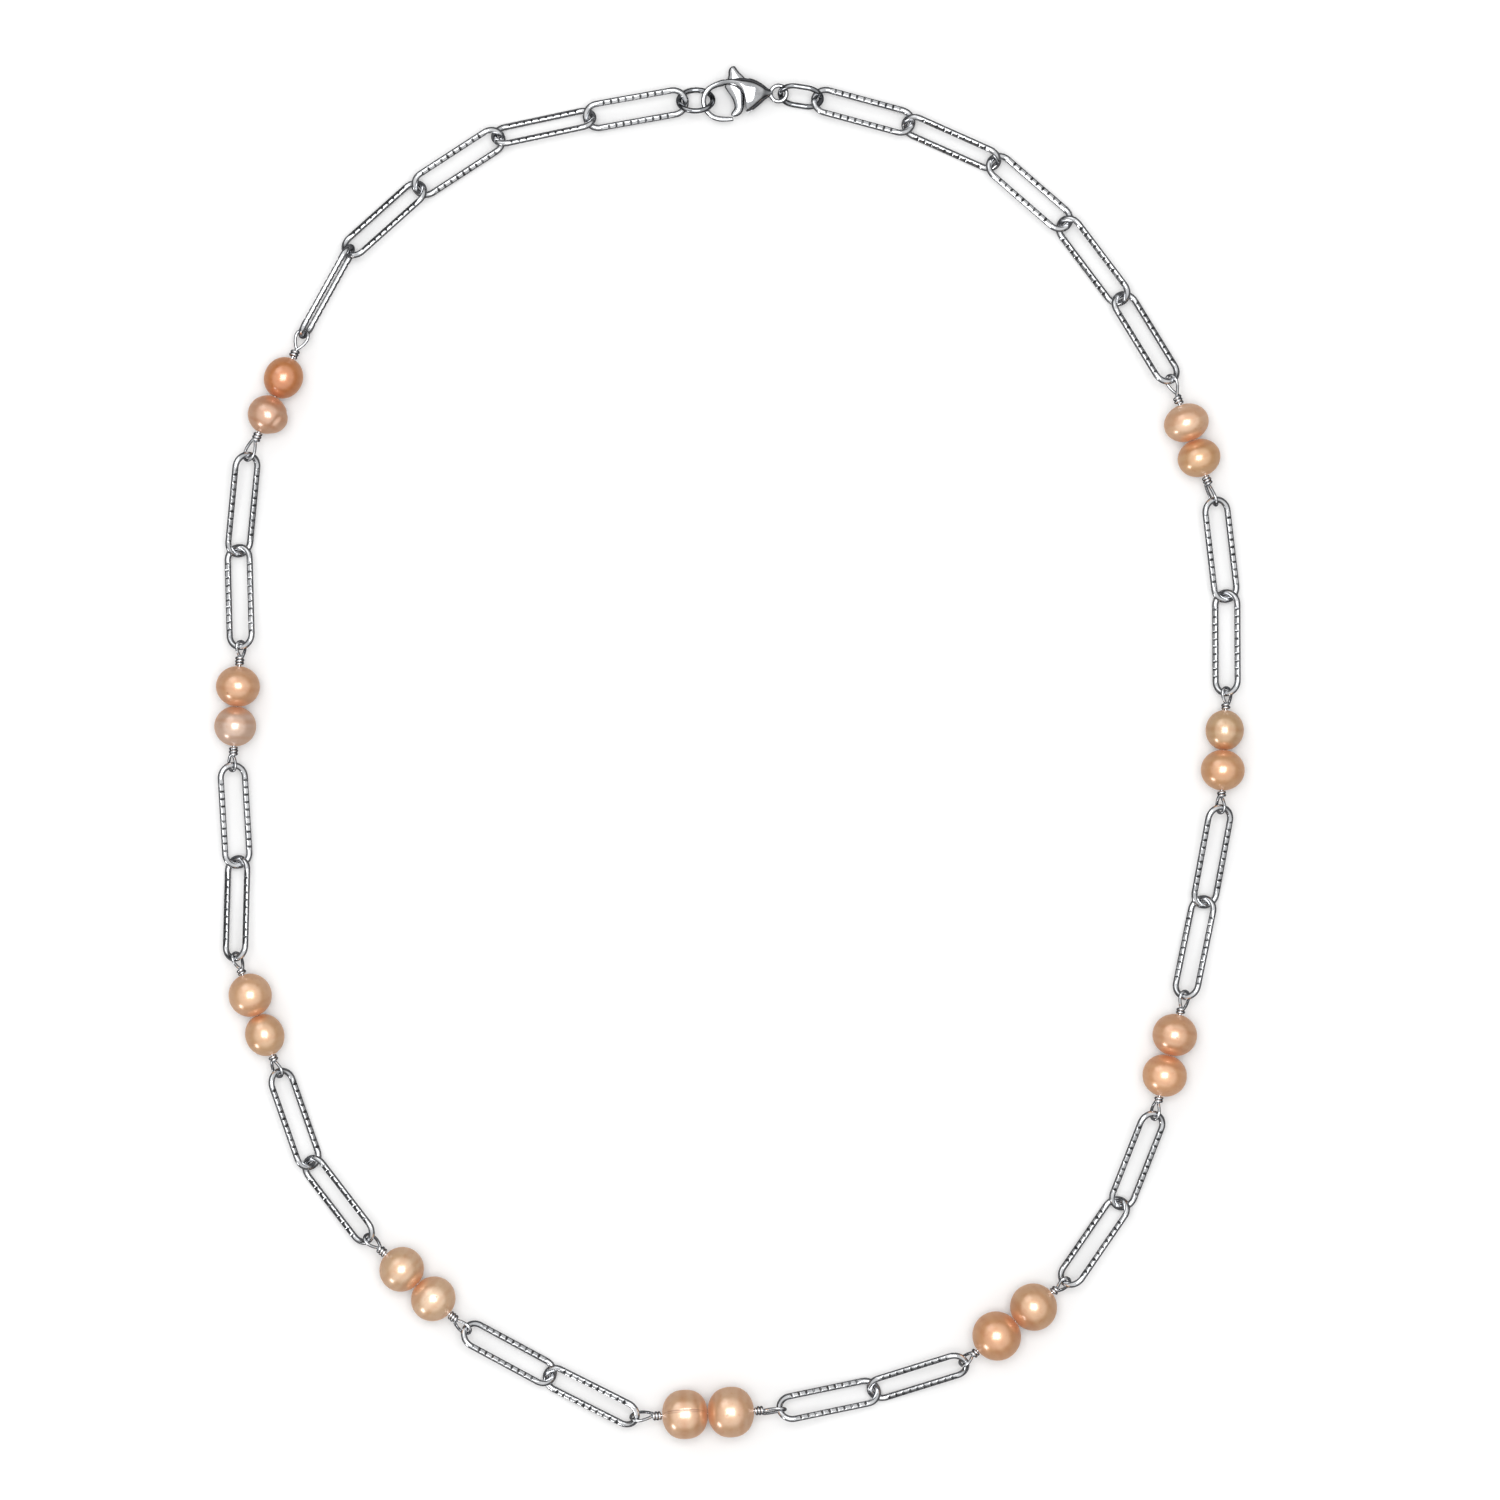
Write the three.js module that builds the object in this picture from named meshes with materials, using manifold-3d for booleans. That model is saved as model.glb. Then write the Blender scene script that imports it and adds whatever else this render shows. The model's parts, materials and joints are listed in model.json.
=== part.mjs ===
// A pearl necklace, clasped and lying open on a table. Going round it: stations of two pearls wired
// together, long wire links between them, a jump ring at each end of the chain and a lobster clasp.
// Millimetres, +Z up. The loop lies in the XY plane, with its bottom station at low Y and the clasp at
// high Y, and the pearls rest on Z = 0.
import * as THREE from 'three';
import { mergeVertices } from 'three/addons/utils/BufferGeometryUtils.js';
import Module from 'manifold-3d';

const wasm = await Module();
wasm.setup();

// Long links: round wire bent into two straight sides and two half rings.
const LINK_LENGTH = 14.7;
const LINK_WIRE = 0.86;
const LINK_BEND = 1.775; // radius of the wire's centre line in the end bends
const LINK_INSIDE = LINK_LENGTH - 2 * LINK_WIRE;

// Jump rings: a round one at the hook, an oval one at the clasp's tail eye.
const RING_WIRE = 0.74;
const HOOK_RING_BEND = 2.34;
const TAIL_RING_BEND = 2.15;
const TAIL_RING_STRETCH = 1.35;
const HOOK_RING_INSIDE = 2 * HOOK_RING_BEND - RING_WIRE;
const TAIL_RING_INSIDE = 2 * TAIL_RING_BEND + TAIL_RING_STRETCH - RING_WIRE;

// Pearl wire: one thin wire through both pearls, wrapped round itself and bent into an eye at each end.
const PEARL_WIRE = 0.42;
const WRAP_DIAMETER = 3 * PEARL_WIRE;
const WRAP_GROOVE = 0.15; // depth of the groove between two turns of a wrap
const PEARL_HOLE = 0.8;
const PEARL_GAP = 0.1; // between two pearls, and between a pearl and its wraps
const EYE_WIDTH = 0.86; // of an eye without length; an eye widens with its length by the spread
const EYE_SPREAD = 0.12;

// Play between two wires that hang in each other.
const PLAY = 0.16;

// Facets of the round pieces.
const LOOP_STEPS = 14; // even, but not a multiple of four, so that one step spans each straight side
const WIRE_SIDES = 8;
const EYE_STEPS = 12;
const EYE_SIDES = 6;
const PEARL_STEPS = 8;
const PEARL_SIDES = 14;
const PLATE_STEPS = 3; // between two points of a plate's smooth outline
const SHORTEST_EDGE = 0.01;

const steel = { color: 0xb9bcc0, roughness: 0.25, metalness: 1 };
const polishedSteel = { color: 0xc8cacd, roughness: 0.12, metalness: 1 };
const pearlWireSteel = { color: 0xa4a5a8, roughness: 0.3, metalness: 1 };
const peach = { color: 0xdda377, roughness: 0.28, metalness: 0 };
const palePink = { color: 0xe4bfa6, roughness: 0.28, metalness: 0 };

function mesh(name, geometry, finish) {
  const made = new THREE.Mesh(geometry, new THREE.MeshStandardMaterial(finish));
  made.name = name;
  return made;
}

// A closed geometry as a solid that can be joined and cut.
function solid(geometry) {
  const bare = geometry.clone();
  bare.deleteAttribute('normal');
  bare.deleteAttribute('uv');
  const merged = mergeVertices(bare, 1e-4);
  return new wasm.Manifold(new wasm.Mesh({
    numProp: 3,
    vertProperties: new Float32Array(merged.attributes.position.array),
    triVerts: new Uint32Array(merged.index.array),
  }));
}

// The mesh of a joined or cut solid, without edges too short to matter.
function geometryOf(shape) {
  const cut = shape.simplify(SHORTEST_EDGE).getMesh();
  const geometry = new THREE.BufferGeometry();
  geometry.setAttribute('position', new THREE.BufferAttribute(cut.vertProperties, 3));
  geometry.setIndex(new THREE.BufferAttribute(cut.triVerts, 1));
  geometry.computeVertexNormals();
  return geometry;
}

// A closed loop of round wire in the XY plane: a ring pulled apart along X by the stretch.
function wireLoop(bend, wire, stretch) {
  const loop = new THREE.TorusGeometry(bend, wire / 2, WIRE_SIDES, LOOP_STEPS);
  const position = loop.attributes.position;
  for (let i = 0; i < position.count; i += 1) {
    const x = position.getX(i);
    position.setX(i, x + Math.sign(x) * stretch / 2);
  }
  return loop;
}

// A flat plate with the given outline in XY, its thickness centred on Z = 0.
function plate(outline, thickness) {
  const settings = { depth: thickness, bevelEnabled: false, curveSegments: PLATE_STEPS };
  return new THREE.ExtrudeGeometry(outline, settings).translate(0, 0, -thickness / 2);
}

// A tube of round wire along a curve, with flat ends.
function tube(curve, wire, sides, steps) {
  const section = new THREE.Shape().absarc(0, 0, wire / 2, 0, 2 * Math.PI, false);
  return new THREE.ExtrudeGeometry(section, { extrudePath: curve, steps, curveSegments: sides / 2 });
}

// ---------------------------------------------------------------- pearls and their wire

// A drilled pearl, a little flattened or drawn out along its hole, which runs along X.
function pearlGeometry(length, width) {
  const drill = Math.asin(PEARL_HOLE / width);
  const profile = [];
  for (let i = 0; i <= PEARL_STEPS; i += 1) {
    const angle = drill + (Math.PI - 2 * drill) * i / PEARL_STEPS;
    profile.push(new THREE.Vector2(width / 2 * Math.sin(angle), -length / 2 * Math.cos(angle)));
  }
  profile.push(profile[0].clone());
  return new THREE.LatheGeometry(profile, PEARL_SIDES).rotateZ(-Math.PI / 2);
}

// The centre line of an eye: a teardrop from its neck at the origin to its round tip along +X.
class Teardrop extends THREE.Curve {
  constructor(length, width) {
    super();
    this.length = length;
    this.width = width;
  }

  getPoint(t, target = new THREE.Vector3()) {
    const angle = 2 * Math.PI * t;
    const across = this.width * Math.sin(angle) * Math.sin(angle / 2);
    return target.set(this.length * (1 - Math.cos(angle)) / 2, across, 0);
  }
}

// How far each pearl, wrap and eye of a station lies along its wire, from the middle of the station.
function stationPlan({ pearls, reach }) {
  const [first, second] = pearls;
  const half = reach + (first.length + second.length + PEARL_GAP) / 2;
  const centres = [-half + reach + first.length / 2, half - reach - second.length / 2];
  return { half, centres, length: 2 * half };
}

// The wire of a station: straight through the pearls, wrapped outside each, with an eye at each end.
function stationWire(station) {
  const { half } = stationPlan(station);
  const core = PEARL_WIRE / 2;
  const wrapInner = half - station.reach + PEARL_GAP;
  const wrapOuter = wrapInner + station.turns * PEARL_WIRE;
  // One side of the turned outline, from the middle of the station outwards: radius and distance.
  const side = [[core, wrapInner]];
  for (let turn = 0; turn < station.turns; turn += 1) {
    side.push([WRAP_DIAMETER / 2, wrapInner + (turn + 0.5) * PEARL_WIRE]);
    side.push([WRAP_DIAMETER / 2 - WRAP_GROOVE, wrapInner + (turn + 1) * PEARL_WIRE]);
  }
  side.push([0, wrapOuter]);
  const outline = [
    ...side.map(([radius, along]) => new THREE.Vector2(radius, -along)).reverse(),
    ...side.map(([radius, along]) => new THREE.Vector2(radius, along)),
  ];
  let wire = solid(new THREE.LatheGeometry(outline, WIRE_SIDES).rotateZ(-Math.PI / 2));
  const neck = wrapOuter - PEARL_WIRE / 2;
  const eyeLength = half + core + PLAY / 2 - neck;
  const eyeWidth = EYE_WIDTH + EYE_SPREAD * eyeLength;
  station.eyes.forEach((roll, end) => {
    const eye = tube(new Teardrop(eyeLength, eyeWidth), PEARL_WIRE, EYE_SIDES, EYE_STEPS);
    eye.translate(neck, 0, 0);
    if (end === 0) eye.rotateZ(Math.PI);
    eye.rotateX(THREE.MathUtils.degToRad(roll));
    wire = wire.add(solid(eye));
  });
  return geometryOf(wire);
}

// ---------------------------------------------------------------- clasp
// The clasp is drawn round the middle of its opening: X runs towards the tail eye, Y towards the nub of
// the lever, and Z through its thickness.

const CLASP_HOOK = new THREE.Vector2(-1.36, 0.1); // where the hook ring pulls, inside the hook
const TAIL_EYE = new THREE.Vector2(8.05, 1.25);
const TAIL_EYE_BEND = 1.08;
const TAIL_EYE_WIRE = 0.6;
const TAIL_SLACK = 0.1; // the tail ring lies aslant in the eye, so it doesn't pull right home
const TAIL_PULL = TAIL_EYE_BEND - TAIL_EYE_WIRE / 2 - TAIL_SLACK;
const CLASP_TAIL = new THREE.Vector2(TAIL_EYE.x + TAIL_PULL, TAIL_EYE.y);
const CLASP_LENGTH = 12;
const CLASP_THICKNESS = 3;
const SLOT_WIDTH = 1.2;
const LEVER_THICKNESS = 0.9;
const PIVOT = new THREE.Vector2(2.6, 2.4);
const PIN_RADIUS = 0.3;
const PIN_LENGTH = 2;
const PIN_SIDES = 12;
const BODY_BORE_PLAY = 0.06; // round the pin, and past each of its ends
const LEVER_BORE_PLAY = 0.08;
const SPRING_START = new THREE.Vector2(3.75, 0.95);
const SPRING_LENGTH = 1.1;
const SPRING_BEND = 0.32;
const SPRING_WIRE = 0.16;
const SPRING_TURNS = 3;

function smoothOutline(points) {
  const [first, ...rest] = points.map(([x, y]) => new THREE.Vector2(x, y));
  return new THREE.Shape().moveTo(first.x, first.y).splineThru(rest);
}

function straightOutline(points) {
  return new THREE.Shape(points.map(([x, y]) => new THREE.Vector2(x, y)));
}

// A round bar along Z, for the pin and its bores.
function pinBar(radius, length) {
  return new THREE.CylinderGeometry(radius, radius, length, PIN_SIDES).rotateX(Math.PI / 2);
}

function claspBody() {
  // Seen from above: the neck, over the back to the hook's tip, and back round the opening.
  const plan = smoothOutline([
    [7.0, 1.6], [5.85, 2.3], [4.7, 2.98], [3.2, 3.25], [1.6, 3.14], [0, 2.84], [-1.65, 1.95], [-2.54, 0.1],
    [-2.05, -1.6], [-0.9, -2.6], [0.6, -2.8], [1.7, -2.64], [1.64, -2.16], [0.2, -2.08], [-1.2, -1.5],
    [-1.82, 0.1], [-1.3, 1.3], [0, 1.98], [1.3, 2.1], [2.5, 1.7], [3.3, 0.9], [3.65, 0], [3.65, -1.4],
    [3.9, -1.5], [4.7, -0.95], [5.8, 0], [7.0, 0.9],
  ]);
  // Seen from the side: thick at the bulb, thin at the hook and the neck.
  const upperSide = new THREE.SplineCurve([
    [7.2, 0.33], [6.2, 0.75], [5, 1.25], [3.5, 1.5], [2, 1.35], [0.6, 0.85], [-1, 0.4], [-2.7, 0.33],
  ].map(([x, z]) => new THREE.Vector2(x, z))).getPoints(14);
  const lowerSide = upperSide.map(({ x, y }) => new THREE.Vector2(x, -y)).reverse();
  const profile = new THREE.Shape([...upperSide, ...lowerSide]);
  const slot = straightOutline([
    [0.4, 0.8], [0.7, 3.8], [3.9, 3.8], [4.0, 2.7], [5.1, 1.9], [5.2, 0.5], [4.6, -0.5], [4.55, -2.4],
    [2.0, -2.4],
  ]);
  const eye = new THREE.TorusGeometry(TAIL_EYE_BEND, TAIL_EYE_WIRE / 2, WIRE_SIDES, LOOP_STEPS);
  const bore = pinBar(PIN_RADIUS + BODY_BORE_PLAY, PIN_LENGTH + 2 * BODY_BORE_PLAY);
  return geometryOf(
    solid(plate(plan, CLASP_THICKNESS))
      .intersect(solid(plate(profile, 2 * CLASP_LENGTH).rotateX(Math.PI / 2)))
      .subtract(solid(plate(slot, SLOT_WIDTH)))
      .subtract(solid(bore.translate(PIVOT.x, PIVOT.y, 0)))
      .add(solid(eye.translate(TAIL_EYE.x, TAIL_EYE.y, 0))),
  );
}

// The lever: thumb nub, the part round the pin, and the arm that closes the hook.
function claspLever() {
  const outline = smoothOutline([
    [0.62, 1.8], [0.85, 2.5], [1.4, 3.2], [1.12, 4.0], [1.35, 4.65], [1.8, 4.86], [2.2, 4.5], [2.65, 3.9],
    [3.5, 3.3], [3.5, 2.3], [3.45, 1.2], [3.4, 0], [3.1, -1.2], [2.6, -1.8], [1.98, -2.08], [1.66, -1.78],
    [2.1, -0.96], [1.8, 0.2], [1.2, 1.23],
  ]);
  outline.closePath();
  const bore = pinBar(PIN_RADIUS + LEVER_BORE_PLAY, 2 * LEVER_THICKNESS).translate(PIVOT.x, PIVOT.y, 0);
  return geometryOf(solid(plate(outline, LEVER_THICKNESS)).subtract(solid(bore)));
}

// A small compression spring lying along X behind the lever's arm.
class Helix extends THREE.Curve {
  getPoint(t, target = new THREE.Vector3()) {
    const angle = 2 * Math.PI * SPRING_TURNS * t;
    return target.set(SPRING_LENGTH * t, SPRING_BEND * Math.cos(angle), SPRING_BEND * Math.sin(angle));
  }
}

function claspSpring() {
  return tube(new Helix(), SPRING_WIRE, 4, 10 * SPRING_TURNS).translate(SPRING_START.x, SPRING_START.y, 0);
}

// ---------------------------------------------------------------- the way round the loop

// Heading is the direction of a piece in plan, counter-clockwise from +X; roll is its turn about its
// own length; both in degrees. Height is where its far end hangs above the table. A station has its
// pearls in order, its reach from the outer face of a pearl to the wire's contact point in the eye, the
// turns of each wrap and the rolls of its two eyes.
const RAISED = 3; // a link's end in a station eye takes the eye's own height instead
const link = (heading, roll, height = RAISED) => ({ kind: 'link', heading, roll, height });
const station = (heading, pearls, reach, turns, eyes) => (
  { kind: 'station', heading, pearls, reach, turns, eyes }
);
const pearl = (length, width, finish = peach) => ({ length, width, finish });

const LOW = 1.3; // height of a joint between two links whose other ends hang in station eyes
const RUN = 1.65; // and of one in the long runs of links beside the clasp
const ON_EDGE = 2.25; // and of the far end of the one link that stands on its edge
const HOOK_HEIGHT = 2.03;
const TAIL_HEIGHT = 2.1;

const front = station(3, [pearl(6.1, 6.8), pearl(6.2, 7.0)], 4.1, 3, [-56, 75]);
front.middle = new THREE.Vector2(0.4, 4.5);

const leftArm = [
  link(154, -30, LOW), link(151, 30),
  station(137, [pearl(5.8, 6.3), pearl(5.8, 6.3)], 3.6, 3, [-45, 45]),
  link(128, -37, LOW), link(109, 34),
  station(110, [pearl(5.65, 5.4), pearl(5.75, 6.0)], 3.0, 2, [-50, 50]),
  link(89, -37, LOW), link(93, 20),
  station(86, [pearl(5.3, 5.8, palePink), pearl(5.4, 6.1)], 3.2, 3, [-55, 50]),
  link(92, -26, LOW), link(84, 34),
  station(66, [pearl(5.2, 6.1), pearl(5.6, 5.4)], 4.0, 3, [-45, -15]),
  link(61, 78, ON_EDGE), link(42, -38, RUN), link(33, 30, RUN), link(12, -46, RUN),
  link(10, 20, HOOK_HEIGHT),
];

const rightArm = [
  link(11, -28, LOW), link(18, 32),
  station(38, [pearl(6.4, 6.9), pearl(6.2, 6.6)], 2.8, 2, [-52, 45]),
  link(55, -36, LOW), link(69, 28),
  station(76, [pearl(5.6, 6.2), pearl(5.6, 6.2)], 3.1, 2, [-55, 45]),
  link(78, -32, LOW), link(80, 28),
  station(87, [pearl(5.4, 6.1), pearl(5.35, 5.3)], 2.9, 2, [-56, 45]),
  link(90, -32, LOW), link(97, 25),
  station(110, [pearl(5.0, 6.0), pearl(5.0, 6.3)], 4.1, 3, [-75, -44]),
  link(121, 32, RUN), link(127, -36, RUN), link(139, 27, RUN), link(156, -45, RUN),
  link(165, 22, TAIL_HEIGHT),
];

const HOOK_RING = { heading: 2, roll: -48 };
const TAIL_RING_ROLL = -56;

// The heights of a station's two ends: its pearls rest on the table and its wire runs through both.
function stationHeights(piece) {
  const { half, centres } = stationPlan(piece);
  const [first, second] = piece.pearls.map((one) => one.width / 2);
  const slope = (second - first) / (centres[1] - centres[0]);
  return [first + slope * (-half - centres[0]), second + slope * (half - centres[1])];
}

// A holder from one end point to the other, with +X along it and its middle halfway.
function holder(start, end, roll) {
  const along = new THREE.Vector3().subVectors(end, start);
  const group = new THREE.Group();
  group.position.addVectors(start, end).multiplyScalar(0.5);
  group.rotation.order = 'ZYX';
  const rise = Math.atan2(along.z, Math.hypot(along.x, along.y));
  group.rotation.set(THREE.MathUtils.degToRad(roll), -rise, Math.atan2(along.y, along.x));
  return group;
}

// The point that a piece of this length reaches from the start, at a heading, with its far end this high.
function reachFrom(start, heading, length, height) {
  const flat = Math.sqrt(length ** 2 - (height - start.z) ** 2);
  const angle = THREE.MathUtils.degToRad(heading);
  return new THREE.Vector3(start.x + flat * Math.cos(angle), start.y + flat * Math.sin(angle), height);
}

const necklace = new THREE.Group();
const loop = new THREE.Group();
necklace.add(loop);

function addStation(piece, start, end, wireName, pearlNames) {
  const group = holder(start, end, 0);
  group.add(mesh(wireName, stationWire(piece), pearlWireSteel));
  const { centres } = stationPlan(piece);
  piece.pearls.forEach(({ length, width, finish }, i) => {
    const bead = mesh(pearlNames[i], pearlGeometry(length, width), finish);
    bead.position.x = centres[i];
    group.add(bead);
  });
  loop.add(group);
}

// Hangs the pieces of one arm in each other and returns the point where the last one ends.
function addArm(arm, start, side) {
  let point = start;
  let links = 0;
  let stations = 0;
  arm.forEach((piece, i) => {
    const next = arm[i + 1];
    if (piece.kind === 'link') {
      const height = next?.kind === 'station' ? stationHeights(next)[0] : piece.height;
      const end = reachFrom(point, piece.heading, LINK_INSIDE - PLAY, height);
      const group = holder(point, end, piece.roll);
      links += 1;
      const name = `link_${side}_${String(links).padStart(2, '0')}`;
      const straight = LINK_LENGTH - LINK_WIRE - 2 * LINK_BEND;
      group.add(mesh(name, wireLoop(LINK_BEND, LINK_WIRE, straight), steel));
      loop.add(group);
      point = end;
    } else {
      const end = reachFrom(point, piece.heading, stationPlan(piece).length, stationHeights(piece)[1]);
      stations += 1;
      const names = [`pearl_${side}_${stations}_lower`, `pearl_${side}_${stations}_upper`];
      addStation(piece, point, end, `pearl_wire_${side}_${stations}`, names);
      point = end;
    }
  });
  return point;
}

function inPlan({ x, y }) {
  return new THREE.Vector2(x, y);
}

// The corner of a triangle over two points, given its distances to them, on the side of high Y.
function cornerOver(from, to, fromLength, toLength) {
  const base = inPlan(to).sub(inPlan(from));
  const span = base.length();
  const foot = (span ** 2 + fromLength ** 2 - toLength ** 2) / (2 * span);
  const rise = Math.sqrt(fromLength ** 2 - foot ** 2);
  const step = base.divideScalar(span);
  const side = new THREE.Vector2(-step.y, step.x).multiplyScalar(Math.sign(step.x));
  return inPlan(from).addScaledVector(step, foot).addScaledVector(side, rise);
}

function addClasp(tail, hook) {
  const chord = new THREE.Vector2().subVectors(CLASP_HOOK, CLASP_TAIL);
  const drawn = new THREE.Group();
  drawn.rotation.z = -chord.angle();
  const middle = new THREE.Vector2().addVectors(CLASP_HOOK, CLASP_TAIL).multiplyScalar(0.5);
  middle.rotateAround(new THREE.Vector2(), drawn.rotation.z);
  drawn.position.set(-middle.x, -middle.y, 0);
  const pin = mesh('clasp_pin', pinBar(PIN_RADIUS, PIN_LENGTH), polishedSteel);
  pin.position.set(PIVOT.x, PIVOT.y, 0);
  drawn.add(
    mesh('clasp_body', claspBody(), polishedSteel),
    mesh('clasp_lever', claspLever(), polishedSteel),
    mesh('clasp_spring', claspSpring(), steel),
    pin,
  );
  const group = holder(tail, hook, 0);
  group.add(drawn);
  loop.add(group);
}

// The bottom station, then the two arms from its ends.
const [frontLow, frontHigh] = stationHeights(front);
const frontMiddle = new THREE.Vector3(front.middle.x, front.middle.y, (frontLow + frontHigh) / 2);
const frontHalf = stationPlan(front).half;
const frontEnd = reachFrom(frontMiddle, front.heading, frontHalf, frontHigh);
const frontStart = reachFrom(frontMiddle, front.heading + 180, frontHalf, frontLow);
addStation(front, frontStart, frontEnd, 'pearl_wire_front', ['pearl_front_left', 'pearl_front_right']);
const leftEnd = addArm(leftArm, frontStart, 'left');
const rightEnd = addArm(rightArm, frontEnd, 'right');

// The hook ring ends inside the hook, and the tail ring and the clasp close the loop to that point.
const hook = reachFrom(leftEnd, HOOK_RING.heading, HOOK_RING_INSIDE - PLAY, HOOK_HEIGHT);
const hookRing = holder(leftEnd, hook, HOOK_RING.roll);
hookRing.add(mesh('hook_ring', wireLoop(HOOK_RING_BEND, RING_WIRE, 0), polishedSteel));
const claspLength = CLASP_HOOK.distanceTo(CLASP_TAIL);
const claspFlat = Math.sqrt(claspLength ** 2 - (HOOK_HEIGHT - TAIL_HEIGHT) ** 2);
const corner = cornerOver(hook, rightEnd, claspFlat, TAIL_RING_INSIDE - PLAY);
const tail = new THREE.Vector3(corner.x, corner.y, TAIL_HEIGHT);
const tailRing = holder(rightEnd, tail, TAIL_RING_ROLL);
tailRing.add(mesh('tail_ring', wireLoop(TAIL_RING_BEND, RING_WIRE, TAIL_RING_STRETCH), polishedSteel));
loop.add(hookRing, tailRing);
addClasp(tail, hook);

// The origin is on the table, under the middle of the loop's box.
const box = new THREE.Box3().setFromObject(necklace, true);
loop.position.set(-(box.min.x + box.max.x) / 2, -(box.min.y + box.max.y) / 2, -box.min.z);

export default necklace;
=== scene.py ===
"""A clasped pearl necklace lying open on a pale table, seen from straight above.

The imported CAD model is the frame. Every piece of the necklace is built again here as a fine mesh in the
place of its CAD node: links with cut faces, wrapped pearl wires, off-round pearls and a lobster clasp.
Lengths with MM are millimetres; everything handed to Blender is in metres.
"""
import json
import math

import bmesh
import bpy
import numpy as np
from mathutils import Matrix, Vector, noise


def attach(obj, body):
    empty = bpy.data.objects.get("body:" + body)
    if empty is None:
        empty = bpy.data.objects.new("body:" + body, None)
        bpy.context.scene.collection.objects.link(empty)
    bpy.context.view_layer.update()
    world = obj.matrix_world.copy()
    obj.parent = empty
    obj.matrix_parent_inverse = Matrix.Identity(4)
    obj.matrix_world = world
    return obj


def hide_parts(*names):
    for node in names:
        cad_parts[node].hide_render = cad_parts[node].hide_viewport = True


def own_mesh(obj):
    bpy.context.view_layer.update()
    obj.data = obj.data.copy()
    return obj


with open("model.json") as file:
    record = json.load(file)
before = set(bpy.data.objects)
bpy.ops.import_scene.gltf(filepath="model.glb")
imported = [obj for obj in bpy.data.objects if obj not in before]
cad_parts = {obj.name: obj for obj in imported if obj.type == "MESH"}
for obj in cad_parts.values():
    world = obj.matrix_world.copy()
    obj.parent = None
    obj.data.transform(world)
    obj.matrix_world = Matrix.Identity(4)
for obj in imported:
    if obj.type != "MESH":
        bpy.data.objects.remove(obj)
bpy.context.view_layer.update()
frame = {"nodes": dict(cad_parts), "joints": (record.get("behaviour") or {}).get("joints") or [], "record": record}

MM = 0.001
SCENE = bpy.context.scene
JOINTS = {joint["name"]: joint for joint in frame["joints"]}

# ---------------------------------------------------------------- driving dimensions, in millimetres
LINK_CELL = 1.02  # from one cut notch of a link to the next
LINK_FLAT = 0.80  # height of a link's cut faces, as a share of the wire's radius
LINK_NOTCH = 0.15  # depth of a notch below the cut face
LINK_NOTCH_WIDTH = 0.3
LINK_CELL_STEPS = 10
LINK_BEND_STEPS = 28
LINK_PHASE_STEP = 0.37  # how far the notches of each next link are shifted, as a share of a cell
LOOP_WIRE_SIDES = 24  # round the wire of a link or a ring
PEARL_WIRE = 0.42
PEARL_WIRE_SIDES = 12
PEARL_GAP = 0.1  # from the flat end of a CAD pearl to its wraps
PEARL_HOLE = 0.33  # radius
CAD_PEARL_MOUTH = 0.8  # width of the flat end of a CAD pearl
PEARL_FIT = 0.995  # of the CAD pearl's width over its corners
PEARL_REACH = 0.08  # added to half a pearl's length, so that the two of a pair nearly meet
WIRE_FIT = 0.97  # of a CAD wire's width over its corners
WIRE_STEP = 0.09  # length of one step along a pearl wire
PART_TURN = 0.375  # of a turn, by which each wrap ends past a whole number of turns
WRAP_REACH = 1.04  # of the wire's width, from the core to the middle of a wrap
EYE_ROUNDS = 48  # steps round an eye
EYE_START = 0.1  # from the last wrap to the eye
CORE_STOP = 0.15  # from the end of the straight core to the eye
EYE_LEAVES, EYE_RETURNS = 0.35, 0.3  # angles left out where the eye's wire leaves the core and comes back
EYE_RISES, EYE_RISING = 0.62, 0.33  # as shares of the way round, where its wire rises and for how long
EYE_CROSSING = 1.02  # of the wire's width, how high it then crosses over the core
TEARDROP_PEAK = 0.77  # how far a teardrop drawn with a width of 1 reaches from its axis
RING_STRAIGHT_STEPS = 12
RING_BEND_STEPS = 44
RING_SEAM = RING_STRAIGHT_STEPS + 30  # the step where a ring's wire ends meet
RING_SEAM_WIDTH = 0.88  # of the wire's width, in the seam

# How many strands of each wrap lie side by side, by station.
TURNS = {
    "front": 3, "left_1": 3, "left_2": 2, "left_3": 3, "left_4": 3,
    "right_1": 2, "right_2": 2, "right_3": 2, "right_4": 3,
}


def srgb(red, green, blue):
    """A colour given as 0 to 255 screen values, as linear numbers."""
    channels = []
    for value in (red, green, blue):
        share = value / 255
        channels.append(share / 12.92 if share <= 0.04045 else ((share + 0.055) / 1.055) ** 2.4)
    return (*channels, 1.0)


# ---------------------------------------------------------------- reading the frame


def node_points(name):
    """The vertices of a CAD node, one row each, in metres."""
    vertices = frame["nodes"][name].data.vertices
    points = np.empty(len(vertices) * 3)
    vertices.foreach_get("co", points)
    return points.reshape(-1, 3)


def body_of(node):
    for body, members in frame["record"]["behaviour"]["bodies"].items():
        if node in members:
            return body
    raise KeyError(node)


class Local:
    """A local frame: an origin and three unit axes, taking local coordinates to the row frame."""

    def __init__(self, origin, axes):
        self.origin = np.array(origin, float)
        self.axes = np.array(axes, float)

    def out(self, points):
        return self.origin + np.asarray(points, float) @ self.axes

    def into(self, points):
        return (np.asarray(points, float) - self.origin) @ self.axes.T


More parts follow.
